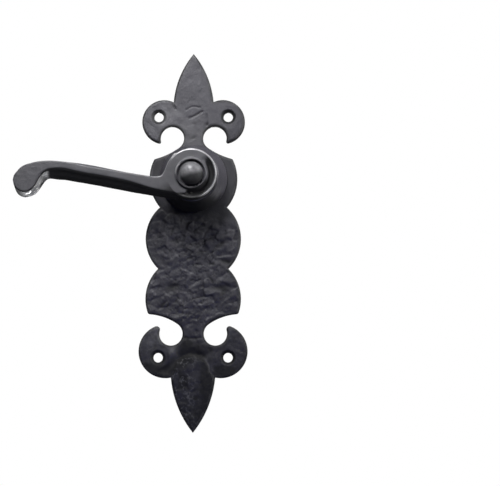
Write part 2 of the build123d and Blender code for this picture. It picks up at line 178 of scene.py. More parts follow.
def vertex_array(piece):
    flat = np.empty(len(piece.data.vertices) * 3)
    piece.data.vertices.foreach_get("co", flat)
    return flat.reshape(-1, 3)


def normal_array(piece):
    flat = np.empty(len(piece.data.vertices) * 3)
    piece.data.vertices.foreach_get("normal", flat)
    return flat.reshape(-1, 3)


def set_vertices(piece, verts):
    piece.data.vertices.foreach_set("co", np.asarray(verts, np.float32).ravel())
    piece.data.update()


def store(piece, name, values):
    """A number on each vertex, for the material to read."""
    layer = piece.data.attributes.new(name, "FLOAT", "POINT")
    layer.data.foreach_set("value", np.clip(values, 0.0, 1.0).astype(np.float32))


# ---------------------------------------------------------------- materials
# Near-black and its roughness, for painted shade: hollows, edges, undersides and the shadow below the
# collar.
PAINTED_SHADE_BLACK = (0.006, 0.006, 0.007)
PAINTED_SHADE_ROUGH = 0.75
# Bright metal and its roughness, for real wear and for painted highlights.
BARE_IRON_AND_HIGHLIGHT = (0.66, 0.66, 0.6666)
BARE_AND_HIGHLIGHT_ROUGH = 0.34


def new_material(name):
    material = bpy.data.materials.new(name)
    material.use_nodes = True
    nodes = material.node_tree.nodes
    return material, nodes, material.node_tree.links, nodes["Principled BSDF"]


def noise_node(nodes, links, coordinates, scale, detail=4.0, roughness=0.55):
    node = nodes.new("ShaderNodeTexNoise")
    node.inputs["Scale"].default_value = scale
    node.inputs["Detail"].default_value = detail
    node.inputs["Roughness"].default_value = roughness
    links.new(coordinates, node.inputs["Vector"])
    return node.outputs["Fac"]


def ramp_node(nodes, links, value, stops):
    ramp = nodes.new("ShaderNodeValToRGB")
    while len(ramp.color_ramp.elements) < len(stops):
        ramp.color_ramp.elements.new(0.5)
    for element, (place, colour) in zip(ramp.color_ramp.elements, stops):
        element.position = place
        element.color = (*colour, 1.0) if len(colour) == 3 else colour
    links.new(value, ramp.inputs["Fac"])
    return ramp.outputs["Color"]


def mix_colour(nodes, links, factor, first, second):
    mix = nodes.new("ShaderNodeMix")
    mix.data_type = "RGBA"
    links.new(factor, mix.inputs[0])
    for socket, value in ((mix.inputs[6], first), (mix.inputs[7], second)):
        if isinstance(value, tuple):
            socket.default_value = (*value, 1.0)
        else:
            links.new(value, socket)
    return mix.outputs[2]


def mix_value(nodes, links, factor, first, second):
    mix = nodes.new("ShaderNodeMix")
    mix.data_type = "FLOAT"
    links.new(factor, mix.inputs[0])
    for socket, value in ((mix.inputs[2], first), (mix.inputs[3], second)):
        if isinstance(value, (int, float)):
            socket.default_value = value
        else:
            links.new(value, socket)
    return mix.outputs[0]


def attribute(nodes, name):
    node = nodes.new("ShaderNodeAttribute")
    node.attribute_name = name
    return node.outputs["Fac"]


def bump(nodes, links, shader, height, distance):
    node = nodes.new("ShaderNodeBump")
    node.inputs["Distance"].default_value = distance
    node.inputs["Strength"].default_value = 1.0
    links.new(height, node.inputs["Height"])
    links.new(node.outputs["Normal"], shader.inputs["Normal"])


def black_iron(name, dark, light, rough, grain, grain_depth):
    """Satin black over cast iron: cloudy blacks, fine grain, bright bare metal for wear and painted
    highlights, and near-black for painted shade, each by a number stored on the vertices."""
    material, nodes, links, shader = new_material(name)
    place = nodes.new("ShaderNodeTexCoord").outputs["Object"]
    clouds = noise_node(nodes, links, place, 55.0, 5.0, 0.6)
    specks = noise_node(nodes, links, place, grain, 3.0, 0.6)
    black = ramp_node(nodes, links, clouds, [(0.32, dark), (0.68, light)])
    wear_and_highlight, painted_shade = attribute(nodes, "wear_and_highlight"), attribute(nodes, "painted_shade")
    black = mix_colour(nodes, links, painted_shade, black, PAINTED_SHADE_BLACK)
    colour = mix_colour(nodes, links, wear_and_highlight, black, BARE_IRON_AND_HIGHLIGHT)
    links.new(colour, shader.inputs["Base Color"])
    links.new(mix_value(nodes, links, wear_and_highlight, 0.10, 0.80), shader.inputs["Metallic"])
    base_rough = ramp_node(nodes, links, specks, [(0.3, (rough - 0.06,) * 3), (0.75, (rough + 0.12,) * 3)])
    base_rough = mix_value(nodes, links, painted_shade, base_rough, PAINTED_SHADE_ROUGH)
    links.new(mix_value(nodes, links, wear_and_highlight, base_rough, BARE_AND_HIGHLIGHT_ROUGH), shader.inputs["Roughness"])
    shader.inputs["IOR"].default_value = 1.5
    bump(nodes, links, shader, specks, grain_depth)
    return material


def turned_steel(name, colour, rough, stretch=(60.0, 900.0, 60.0)):
    """Machined metal with fine marks drawn out along one way."""
    material, nodes, links, shader = new_material(name)
    place = nodes.new("ShaderNodeTexCoord").outputs["Object"]
    mapping = nodes.new("ShaderNodeMapping")
    mapping.inputs["Scale"].default_value = stretch
    links.new(place, mapping.inputs["Vector"])
    marks = noise_node(nodes, links, mapping.outputs["Vector"], 6.0, 4.0)
    stains = noise_node(nodes, links, place, 120.0, 4.0)
    dull = tuple(0.62 * c for c in colour)
    tone = ramp_node(nodes, links, stains, [(0.35, dull), (0.65, colour)])
    links.new(tone, shader.inputs["Base Color"])
    shader.inputs["Metallic"].default_value = 1.0
    links.new(ramp_node(nodes, links, marks, [(0.3, (rough - 0.08,) * 3), (0.7, (rough + 0.12,) * 3)]),
              shader.inputs["Roughness"])
    bump(nodes, links, shader, marks, 0.00004)
    return material


def nylon(name):
    material, nodes, links, shader = new_material(name)
    place = nodes.new("ShaderNodeTexCoord").outputs["Object"]
    mottle = noise_node(nodes, links, place, 400.0)
    links.new(ramp_node(nodes, links, mottle, [(0.3, (0.008,) * 3), (0.7, (0.016,) * 3)]),
              shader.inputs["Base Color"])
    shader.inputs["Roughness"].default_value = 0.5
    bump(nodes, links, shader, mottle, 0.00003)
    return material


# ---------------------------------------------------------------- back plate
EDGE_ROUND = 1.5            # front edge of the casting
GRID = 0.62                 # spacing of the relief's points
HOLE_SPACING = 0.45         # spacing of the points round a fixing hole
HOLE_RADIUS = 3.0
SINK_RADIUS = 4.9
SINK_DEPTH = 1.9
FIXING_HOLE_ACROSS = 10.0   # every loop narrower than this is a fixing hole
COVER_RIM = 5.1             # cover plate past the plate's bore, all round
COVER_GAP = 0.1

# Dents in the casting: place, half length and half width, turn in degrees, depth.
DENTS = (
    ((-10.9, -39.4), (3.0, 1.6), 10, 0.5), ((17.3, -41.6), (4.2, 1.5), 40, 0.7),
    ((21.0, -52.5), (4.5, 1.9), -12, 0.8), ((-13.0, -68.5), (4.2, 3.0), 10, 0.8),
    ((17.5, -69.0), (5.2, 1.7), 8, 0.8), ((19.0, -72.0), (3.0, 1.5), 50, 0.7),
    ((-19.0, -79.6), (3.6, 1.1), 42, 0.8), ((5.6, -68.0), (2.0, 1.0), 0, 0.4),
    ((-22.0, -51.0), (5.0, 2.2), -35, 0.4), ((1.8, -96.2), (1.0, 1.0), 0, 0.45),
    ((8.4, 34.6), (0.8, 0.9), 0, 0.5), ((-0.1, 25.7), (1.6, 0.8), 30, 0.35),
    ((-1.4, 22.4), (0.9, 0.6), 0, 0.3), ((0.3, 34.8), (1.0, 0.8), 0, 0.2))

# Creases: route, half width, depth.
CREASES = (
    ([(-14.2, 49.0), (-13.0, 46.6), (-11.6, 44.6)], 0.7, 0.55),
    ([(-4.5, 44.0), (-0.5, 46.0), (4.0, 45.4)], 0.55, 0.30),
    ([(-2.5, 38.6), (1.6, 40.6), (5.4, 42.8)], 0.6, 0.55),
    ([(-6.4, -100.2), (0, -100.9), (6.4, -100.2)], 0.8, 0.40),
    ([(8.6, 33.5), (8.9, 37.0), (8.2, 41.0)], 0.45, 0.25))

# Hammered ridge and groove above the lower leaf, and the fold across the leaf.
LEAF_RIDGE = [(-7.0, -102.5), (-10.4, -107.4), (-14.7, -112.6), (-20.5, -117.8)]
LEAF_GROOVE = [(-17.5, -121.0), (-12.5, -116.6), (-7.5, -112.6), (-0.5, -110.4), (6.0, -112.0)]
LEAF_FOLD = [(-4.0, -131), (-1.5, -134.5), (2.0, -133.0), (5.0, -129)]

# Lighter patches of bare metal, painted highlights where the plate should look brighter: place, half sizes,
# how bright.
PAINTED_HIGHLIGHTS = (
    ((0.0, 29.0), (8.0, 9.0), 0.06), ((-19.0, 39.0), (9.0, 9.0), 0.08),
    ((-24.0, -99.0), (6.0, 9.0), 0.11), ((21.5, -95.0), (5.0, 5.0), 0.05),
    ((-12.0, -109.0), (3.0, 6.0), 0.09))


def outline_loops():
    """The back face's boundary loops in the CAD plate, each an array of (x, z) in millimetres."""
    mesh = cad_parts["backplate"].data
    edges = {}
    for face in mesh.polygons:
        corners = [mesh.vertices[i].co / MM for i in face.vertices]
        if max(abs(c.y) for c in corners) > 0.01:
            continue
        keys = [(round(c.x, 2), round(c.z, 2)) for c in corners]
        for a, b in zip(keys, keys[1:] + keys[:1]):
            if (b, a) in edges:
                del edges[(b, a)]
            else:
                edges[(a, b)] = True
    follow = {a: b for a, b in edges if a != b}
    loops = []
    while follow:
        start = next(iter(follow))
        loop, here = [start], follow.pop(start)
        while here != start:
            loop.append(here)
            here = follow.pop(here)
        loops.append(np.array(loop))
    return sorted(loops, key=len, reverse=True)


def resample(loop, spacing):
    """The same closed loop with even spacing, its corners kept."""
    ring = np.vstack([loop, loop[:1]])
    step = np.linalg.norm(np.diff(ring, axis=0), axis=1)
    along = np.concatenate([[0], np.cumsum(step)])
    way = np.diff(ring, axis=0) / step[:, None]
    turn = np.arccos(np.clip((way * np.roll(way, 1, axis=0)).sum(1), -1, 1))
    corners = np.flatnonzero(turn > 0.5)
    if len(corners) == 0:
        corners = np.array([0])
    at = []
    for a, b in zip(corners, np.append(corners[1:], corners[0] + len(loop))):
        low, high = along[a], along[b % len(loop)] + (along[-1] if b >= len(loop) else 0)
        count = max(2, round((high - low) / spacing))
        at.extend(np.linspace(low, high, count, endpoint=False))
    at = np.array(at) % along[-1]
    return np.column_stack([np.interp(at, along, ring[:, k]) for k in range(2)])


def distance_to(points, loop):
    """Distance from each point to a closed loop."""
    a, b = loop, np.roll(loop, -1, axis=0)
    best = np.full(len(points), 1e9)
    for start in range(0, len(points), 2000):
        part = points[start:start + 2000, None, :]
        along = (b - a)[None]
        t = np.clip(((part - a) * along).sum(2) / (along ** 2).sum(2), 0, 1)
        gap = np.linalg.norm(part - (a + t[..., None] * along), axis=2)
        best[start:start + 2000] = gap.min(1)
    return best


def inside(points, loop):
    x, z = points[:, 0], points[:, 1]
    result = np.zeros(len(points), bool)
    for (ax, az), (bx, bz) in zip(loop, np.roll(loop, -1, axis=0)):
        crosses = (az > z) != (bz > z)
        reach = (bx - ax) * (z - az) / (bz - az + 1e-12) + ax
        result ^= crosses & (x < reach)
    return result


def lump(x, z, at, size, angle=0.0):
    """A smooth round or long bump of height 1."""
    turn = math.radians(angle)
    u = (x - at[0]) * math.cos(turn) + (z - at[1]) * math.sin(turn)
    v = -(x - at[0]) * math.sin(turn) + (z - at[1]) * math.cos(turn)
    return np.exp(-(u / size[0]) ** 2 - (v / size[1]) ** 2)


def along_line(points, route, width):
    """A bump of height 1 along a smooth open route."""
    path = spline(route, 60)
    near = np.min(np.linalg.norm(points[:, None, :] - path[None], axis=2), axis=1)
    return np.exp(-(near / width) ** 2)


def leaf_shape(x, z):
    """1 on the raised leaf of the bottom spear, falling steeply to 0 past its rim."""
    top, shoulder, half = -111.6, -121.5, 10.6
    rise = np.clip((z - shoulder) / (top - shoulder), 0, 1)
    rim = half * np.sqrt(np.clip(1 - rise ** 2, 0, 1)) + 0.7 * np.clip(shoulder - z, 0, 20)
    side = smooth_step(1.1, -0.5, np.abs(x + 0.7) - rim)
    return side * smooth_step(0.7, -0.9, z - top)


def facets(points, spacing, tilt, jump, seam):
    """Small planes tipped and raised at random, longer up to the right, with soft seams between them.
    Gives the height at each point, and how near it is to a seam, 0 to 1."""
    turn, stretch = math.radians(38), 1.4
    u = (points[:, 0] * math.cos(turn) + points[:, 1] * math.sin(turn)) / stretch
    v = -points[:, 0] * math.sin(turn) + points[:, 1] * math.cos(turn)
    place = np.column_stack([u, v])
    low, high = place.min(0) - spacing, place.max(0) + spacing
    columns, rows = np.arange(low[0], high[0], spacing), np.arange(low[1], high[1], spacing)
    seeds = np.array([(x + random.uniform(-0.5, 0.5) * spacing, y + random.uniform(-0.5, 0.5) * spacing)
                      for x in columns for y in rows])
    slopes = np.array([(random.uniform(-tilt, tilt), random.uniform(-tilt, tilt)) for _ in seeds])
    raised = np.array([random.uniform(-jump, jump) for _ in seeds])
    height, edge = np.zeros(len(points)), np.zeros(len(points))
    for start in range(0, len(points), 4000):
        gap = place[start:start + 4000, None] - seeds[None]
        far = (gap ** 2).sum(2)
        weight = np.exp(-(far - far.min(1)[:, None]) / (seam * spacing))
        planes = raised + (gap * slopes).sum(2)
        total = weight.sum(1)
        height[start:start + 4000] = (weight * planes).sum(1) / total
        edge[start:start + 4000] = np.clip(2 - 2 * weight.max(1) / total, 0, 1)
    return height, edge


def plate_relief(points):
    """Height of the cast surface over the flat front in millimetres, and its painted shade, 0 to 1: darker
    in crevices, pits, dents, creases and the leaf's groove, on the leaf's right side and over the bottom
    spear.
    """
    x, z = points[:, 0], points[:, 1]
    solid = np.column_stack([x, z, np.zeros(len(x))])
    lobes = smooth_step(-17, -29, z + 0.3 * x) * smooth_step(-97, -88, z)
    rugged = 0.45 + 0.55 * np.exp(-((x - 1) / 15.0) ** 4)
    tail = smooth_step(-92, -100, z)
    height = 0.20 * fractal(solid, 16.0, 3, 3.1)
    height += (0.08 + 0.14 * lobes + 0.14 * tail) * fractal(solid, 5.2, 4, 9.4)
    large, large_seam = facets(points, spacing=4.6, tilt=0.16, jump=0.34, seam=0.30)
    small, small_seam = facets(points, spacing=2.1, tilt=0.20, jump=0.13, seam=0.34)
    height += (0.10 + 0.90 * lobes + 0.25 * tail) * large
    height += (0.08 + 0.92 * lobes * rugged + 0.20 * tail) * small

    # Crevices and pits are cut into the relief and also darkened with painted shade.
    crevice = smooth_step(0.35, 0.95, large_seam) * smooth_step(0.0, 0.35, fractal(solid, 6.0, 3, 12.6))
    broken = smooth_step(0.12, 0.4, fractal(solid, 4.0, 3, 21.0))
    crevice = np.clip(crevice + 0.7 * smooth_step(0.45, 0.95, small_seam) * broken, 0, 1)
    crevice *= 0.04 + 0.96 * lobes * rugged + 0.12 * tail
    pits = smooth_step(0.45, 0.7, fractal(solid, 1.3, 2, 2.2)) * (0.25 + 0.75 * lobes)
    height -= 0.30 * crevice + 0.16 * pits

    # Painted shade: a dark patch by the groove above the leaf, the parts beside the leaf and the whole
    # bottom spear in cloudy patches.
    dark = 0.7 * lump(x, z, (3.0, -107.0), (10.0, 4.5), -10)
    dark += 0.6 * tail * smooth_step(-114, -121, z) * smooth_step(11, 14, np.abs(x))
    dark += tail * (0.22 + 0.5 * smooth_step(0.0, 0.5, fractal(solid, 9.0, 3, 15.2)))
    # Dents and creases are pressed in and also darkened with painted shade.
    for at, size, angle, depth in DENTS:
        dent = lump(x, z, at, size, angle)
        height -= depth * dent
        dark += 1.2 * depth * dent
    for route, width, depth in CREASES:
        crease = along_line(points, route, width)
        height -= depth * crease
        dark += depth * crease

    groove = along_line(points, LEAF_GROOVE, 2.2)
    leaf = leaf_shape(x, z)
    height += 0.85 * along_line(points, LEAF_RIDGE, 1.9) - groove
    height += leaf * (1.25 * smooth_step(-150, -118, z) + 0.9 * np.exp(-(x / 7.0) ** 2))
    height -= 0.35 * along_line(points, LEAF_FOLD, 0.9)
    # Painted shade in the groove, and on the leaf darker to its right and towards its lower end.
    dark += 0.7 * groove
    dark += leaf * (0.25 + 0.5 * smooth_step(1.0, 9.0, x) + 0.35 * smooth_step(-134, -150, z))
    return height, np.clip(np.maximum.reduce([crevice, 0.6 * pits, dark]), 0, 1)


def circle_points(count):
    """Points of the unit circle."""
    turns = np.linspace(0, 2 * math.pi, count, endpoint=False)
    return np.column_stack([np.cos(turns), np.sin(turns)])


def plate_points(outer, centres, bore, step):
    """Points for the relief: bands along the edge and round the countersinks, then a staggered grid."""
    ahead, behind = np.roll(outer, -1, axis=0), np.roll(outer, 1, axis=0)
    tangent = (ahead - behind) / np.linalg.norm(ahead - behind, axis=1)[:, None]
    area = 0.5 * np.sum(outer[:, 0] * ahead[:, 1] - outer[:, 1] * ahead[:, 0])
    inward = np.column_stack([-tangent[:, 1], tangent[:, 0]]) * (1 if area > 0 else -1)
    groups = []
    for inset in (0.12, 0.34, 0.7, 1.15):
        band = outer + inward * inset
        keep = inside(band, outer) & (distance_to(band, outer) > 0.93 * inset)
        groups.append(band[keep])
    for centre in centres:
        for radius, count in ((3.5, 44), (4.0, 48), (4.5, 52), (4.9, 56), (5.3, 56)):
            groups.append(centre + radius * circle_points(count))
    xs = np.arange(PLATE_LOW[0], PLATE_HIGH[0], GRID)
    zs = np.arange(PLATE_LOW[2], PLATE_HIGH[2], GRID * 0.87)
    grid = np.array([(x + GRID / 2 * (row % 2), z) for row, z in enumerate(zs) for x in xs])
    grid = grid[inside(grid, outer)]
    grid = grid[distance_to(grid, outer) > 1.5]
    from_axis = np.linalg.norm(grid, axis=1)
    grid = grid[(from_axis > bore + 0.4) & (np.abs(from_axis - step) > 0.35)]
    for centre in centres:
        grid = grid[np.linalg.norm(grid - centre, axis=1) > 5.6]
    return np.vstack(groups + [grid])


def plate_triangles(borders, more, holes):
    """Triangles through the borders and the other points, inside the first border and outside the holes.
    Gives the points, the triangles and each border as point numbers."""
    numbered, start = [], 0
    for loop in borders:
        numbered.append(list(range(start, start + len(loop))))
        start += len(loop)
    edges = [(a, b) for border in numbered for a, b in zip(border, border[1:] + border[:1])]
    points = [Vector(p) for p in np.vstack([*borders, more])]
    result = geometry.delaunay_2d_cdt(points, edges, [], 0, 1e-5)
    flat = np.array([tuple(v) for v in result[0]])
    triangles = np.array(result[2])
    middle = flat[triangles].mean(1)
    keep = inside(middle, borders[0])
    for hole in holes:
        keep &= ~inside(middle, hole)
    renumber = {old: new for new, olds in enumerate(result[3]) for old in olds}
    return flat, triangles[keep], [[renumber[i] for i in border] for border in numbered]


def plate_front(flat, gap, centres):
    """Depth of the front face and its painted shade: round edge, relief, countersinks, flat seat for the
    collar.
    """
    turned = np.clip(1 - gap / EDGE_ROUND, 0, 1)
    drop = EDGE_ROUND * (1 - np.sqrt(1 - turned ** 2))
    relief, relief_shade = plate_relief(flat)
    depth = PLATE_THICK - drop + relief * smooth_step(0.1, 1.8, gap)
    for centre in centres:
        far = np.linalg.norm(flat - centre, axis=1)
        sink = np.clip((SINK_RADIUS - far) / (SINK_RADIUS - HOLE_RADIUS), 0, 1) * SINK_DEPTH
        flatten = smooth_step(7.5, 5.4, far)
        depth = depth * (1 - flatten) + flatten * (PLATE_THICK - np.minimum(drop, PLATE_THICK)) - sink
        # Painted shade inside each countersink.
        relief_shade = np.maximum(relief_shade, 0.9 * smooth_step(SINK_RADIUS, SINK_RADIUS - 0.5, far))
    near_collar = smooth_step(26.5, 22.5, np.linalg.norm(flat, axis=1))
    depth = depth * (1 - near_collar) + near_collar * np.minimum(depth, PLATE_THICK - 0.05)
    return depth, relief_shade


def plate_wear_and_highlight(flat, gap):
    """How bare the front is, with painted highlights: a worn trace along its rim, light streaks on the
    leaf's left side, and lighter patches.
    """
    x, z = flat.T
    solid = np.column_stack([flat, np.zeros(len(flat))])
    rim = smooth_step(1.9, 0.9, gap) * smooth_step(0.1, 0.6, gap)
    wear_and_highlight = 0.06 * rim * (0.5 + fractal(solid, 7.0, 3, 1.7))
    # Painted highlight on the leaf's left side, in thin broken streaks.
    leaf = leaf_shape(x, z) * smooth_step(8, -7, x)
    wear_and_highlight += 0.13 * leaf * smooth_step(0.11, 0.0, np.abs(fractal(solid, 6.0, 4, 27.0)))
    cloudy = 0.8 + fractal(solid, 5.0, 3, 33.0)
    # Painted highlight patches.
    for at, size, brightness in PAINTED_HIGHLIGHTS:
        wear_and_highlight += brightness * lump(x, z, at, size) * cloudy
    return wear_and_highlight


def plate_painted_shade(flat, gap):
    """Painted shade along the plate's edge, and painted shade and shadow round and below the collar."""
    x, z = flat.T
    solid = np.column_stack([flat, np.zeros(len(flat))])
    # Painted shade along the rounded edge, wider towards the right.
    edge = 0.85 * smooth_step(1.5 + 0.9 * smooth_step(2, 14, x), 0.7, gap)
    on_neck = smooth_step(15, 10, np.abs(x)) * smooth_step(12, 19, z)
    # Painted shade round the collar, left off the neck above it, and a painted shadow below the collar with
    # a broken lower edge.
    round_collar = 0.55 * smooth_step(30.0, 27.0, np.linalg.norm(flat, axis=1)) * (1 - on_neck)
    from_shade = np.linalg.norm(flat - (2.0, -7.0), axis=1) + 3.0 * fractal(solid, 6.0, 3, 18.4)
    below_collar = 0.70 * smooth_step(33.0, 22.0, from_shade) * smooth_step(-8, -18, z)
    return edge, np.maximum(round_collar, below_collar)


def backplate():
    """The casting: relief in front, a flat back with a shallow seat for the cover plate."""
    loops = outline_loops()
    outer = resample(loops[0], GRID)
    rings = [resample(loop, HOLE_SPACING) for loop in loops[1:] if np.ptp(loop[:, 0]) < FIXING_HOLE_ACROSS]
    centres = [ring.mean(0) for ring in rings]
    bore = COVER_HIGH[0] - COVER_RIM
    step = COVER_HIGH[0] + COVER_GAP
    circle = circle_points(150)
    holes = [*rings, bore * circle]
    more = plate_points(outer, centres, bore, step)
    flat, triangles, borders = plate_triangles([outer, *holes, step * circle], more, holes)
    gap = distance_to(flat, outer)
    depth, relief_shade = plate_front(flat, gap, centres)

    step_ring = borders.pop()
    cover_seat = COVER_HIGH[1] - COVER_LOW[1]
    in_seat = np.linalg.norm(flat, axis=1) < step - 0.1
    front = from_front(flat[:, 0], flat[:, 1], depth)
    back = from_front(flat[:, 0], flat[:, 1], np.where(in_seat, cover_seat, 0))
    seat_ring = from_front(flat[step_ring, 0], flat[step_ring, 1], cover_seat)
    count = len(flat)
    verts = np.vstack([front, back, seat_ring])
    seat_of = {i: 2 * count + k for k, i in enumerate(step_ring)}
    faces = [tuple(t) for t in triangles]
    for corners in triangles.tolist():
        seated = np.linalg.norm(flat[corners].mean(0)) < step
        faces.append(tuple(seat_of[i] if seated and i in seat_of else i + count for i in reversed(corners)))
    for border in borders:
        for a, b in zip(border, border[1:] + border[:1]):
            faces.append((a, b, b + count, a + count))
    for a, b in zip(step_ring, step_ring[1:] + step_ring[:1]):
        faces.append((a + count, b + count, seat_of[b], seat_of[a]))
    piece = mesh_object("cast_backplate", verts, faces)

    # Per vertex: worn metal and painted highlights in front; painted shade in the relief, along the edges
    # and round and below the collar, and along the edge behind.
    wear_and_highlight, painted_shade = np.zeros(len(verts)), np.zeros(len(verts))
    edge, by_collar = plate_painted_shade(flat, gap)
    wear_and_highlight[:count] = plate_wear_and_highlight(flat, gap)
    painted_shade[:count] = np.maximum.reduce([relief_shade, edge, by_collar])
    painted_shade[count:2 * count] = edge
    store(piece, "wear_and_highlight", wear_and_highlight)
    store(piece, "painted_shade", painted_shade)
    return piece


# ---------------------------------------------------------------- lever
VOXEL = 0.36                # grid of the cast lever's skin
SMOOTH_ROUNDS = 4
TROUGH_RADIUS = 12.3        # groove between the boss's rim and the raised ring
TROUGH_HALF_WIDTH = 1.75
TROUGH_DEPTH = 2.6
LEDGE_RADIUS = 13.1         # thin ledge on the groove's outer side
LEDGE_HALF_WIDTH = 0.35
LEDGE_HEIGHT = 0.7
TROUGH_WAY = -42            # where the groove is deepest, in degrees from the right


def lever_loops():
    """Edge of the flat front face, and the widest outline behind it, point for point."""
    top = [(-10.0, 3.5), (-15.5, -0.6), (-19.5, -1.8), (-26.0, -1.4), (-37.6, 0.4), (-55.8, 3.4),
           (-65.7, 5.1), (-73.2, 6.7), (-80.6, 7.8), (-87.5, 8.2), (-94.0, 7.9), (-98.9, 6.9),
           (-103.4, 5.0), (-106.8, 2.6), (-109.5, -0.6), (-REACH, -3.6)]
    face_low = [(-REACH, -3.6), (-109.4, -7.4), (-107.1, -9.8), (-104.1, -10.9), (-101.1, -10.6),
                (-98.7, -9.2), (-96.7, -6.8), (-95.3, -4.0), (-93.3, -0.6), (-90.4, 1.9), (-87.4, 3.0),
                (-83.0, 3.4), (-77.5, 3.0), (-65.6, 0.4), (-55.7, -1.2), (-45.8, -3.1), (-37.6, -5.0),
                (-23.6, -9.3), (-10.9, -11.6), (-4.0, -11.9)]
    wide_low = [(-REACH, -3.6), (-109.7, -8.4), (-108.3, -10.9), (-106.3, -12.9), (-103.6, -13.7),
                (-100.5, -13.5), (-97.5, -12.3), (-95.5, -10.2), (-94.4, -7.8), (-93.2, -5.2),
                (-91.2, -3.0), (-88.2, -2.3), (-81.2, -3.0), (-71.3, -4.5), (-61.3, -6.3), (-51.4, -8.2),
                (-38.0, -10.8), (-24.0, -13.2), (-10.9, -14.9), (-4.0, -15.4)]
    upper, face_lower, wide_lower = spline(top, 150), spline(face_low, 170), spline(wide_low, 170)
    return np.vstack([upper, face_lower[1:]]), np.vstack([upper, wide_lower[1:]])


def shrink(loop, amount):
    """The closed loop moved inwards by the amount."""
    ahead, behind = np.roll(loop, -1, axis=0), np.roll(loop, 1, axis=0)
    tangent = (ahead - behind) / (np.linalg.norm(ahead - behind, axis=1)[:, None] + 1e-9)
    return loop - np.column_stack([-tangent[:, 1], tangent[:, 0]]) * -amount


def lever_arm():
    """The arm and its curled end, flat in front, with a broad bevel below and soft edges."""
    face, wide = lever_loops()
    step = 0.82 * face + 0.18 * wide
    levels = [(shrink(wide, 1.6), BOSS_BACK), (shrink(wide, 0.5), BOSS_BACK + 0.7), (wide, BOSS_BACK + 2.0),
              (wide, BOSS_FRONT - 6.4), (0.30 * face + 0.70 * wide, BOSS_FRONT - 3.6),
              (step, BOSS_FRONT - 1.5), (shrink(step, 0.1), BOSS_FRONT - 0.7), (face, BOSS_FRONT - 0.35),
              (shrink(face, 0.35), BOSS_FRONT)]
    verts, faces = loft([from_front(loop[:, 0], loop[:, 1], depth) for loop, depth in levels])
    return mesh_object("arm", verts, faces)


def boss():
    """Round boss: a thin rim bead, a trough that fades out towards the arm, a raised ring round the cap."""
    def shape(radius, depth, angles):
        if depth < BOSS_BACK + 2:
            return np.full(len(angles), depth)
        away = np.abs(angles_from(angles, TROUGH_WAY))
        deep = smooth_step(math.radians(100), math.radians(62), away)
        trough = math.exp(-((radius - TROUGH_RADIUS) / TROUGH_HALF_WIDTH) ** 4)
        ledge = math.exp(-((radius - LEDGE_RADIUS) / LEDGE_HALF_WIDTH) ** 2)
        return depth - (TROUGH_DEPTH * trough - LEDGE_HEIGHT * ledge) * deep

    profile = [(8.0, BOSS_BACK), (BOSS_RADIUS - 0.6, BOSS_BACK), (BOSS_RADIUS, BOSS_BACK + 0.7)]
    profile += [(BOSS_RADIUS, BOSS_FRONT - 0.9), (BOSS_RADIUS - 0.2, BOSS_FRONT - 0.25),
                (BOSS_RADIUS - 0.55, BOSS_FRONT)]
    profile += [(radius, BOSS_FRONT) for radius in np.linspace(BOSS_RADIUS - 0.95, 10.3, 26)]
    profile += [(9.9, BOSS_FRONT + 0.1), (9.7, RING_FRONT - 0.6), (9.3, RING_FRONT - 0.1)]
    profile += [(8.9, RING_FRONT), (8.4, RING_FRONT - 0.4), (8.15, BOSS_FRONT - 0.6)]
    profile += [(0.4, BOSS_FRONT - 0.6)]
    return spun("boss", profile, 200, shape)


def angles_from(angles, degrees):
    """Angles measured from the given direction, -pi to pi."""
    return (angles - math.radians(degrees) + math.pi) % (2 * math.pi) - math.pi


def shoulder():
    """Metal in the corner between the arm's upper edge and the boss."""
    corners = [(-26.0, -1.7), (-22.0, -2.1), (-19.8, -1.7), (-18.2, -0.7), (-17.1, 1.0), (-16.0, 3.6),
               (-14.4, 7.2), (-12.5, 10.2), (-9.6, 12.8), (-3.0, 9.0), (-2.0, -4.0), (-3.5, -12.2),
               (-10.0, -11.6), (-17.0, -9.0), (-26.0, -6.5), (-26.0, -1.7)]
    outline = spline(corners, 120)[:-1]
    levels = [(shrink(outline, -0.8), BOSS_BACK), (outline, BOSS_BACK + 1.0), (outline, BOSS_FRONT - 0.5),
              (shrink(outline, -0.3), BOSS_FRONT)]
    verts, faces = loft([from_front(loop[:, 0], loop[:, 1], depth) for loop, depth in levels])
    return mesh_object("shoulder", verts, faces)


def neck():
    """The lever's neck as the CAD has it, with its flats, grooves and square socket."""
    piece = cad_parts["lever"].copy()
    piece.data = piece.data.copy()
    piece.parent = None
    bpy.context.collection.objects.link(piece)
    bm = bmesh.new()
    bm.from_mesh(piece.data)
    bmesh.ops.remove_doubles(bm, verts=bm.verts, dist=1e-6)
    cut = (BOSS_BACK + 0.5) * MM
    parts = bm.verts[:] + bm.edges[:] + bm.faces[:]
    bmesh.ops.bisect_plane(bm, geom=parts, plane_co=(0, -cut, 0), plane_no=(0, -1, 0), clear_outer=True)
    open_edges = [edge for edge in bm.edges if edge.is_boundary]
    bmesh.ops.holes_fill(bm, edges=open_edges, sides=0)
    bm.to_mesh(piece.data)
    bm.free()
    piece.data.materials.clear()
    return piece


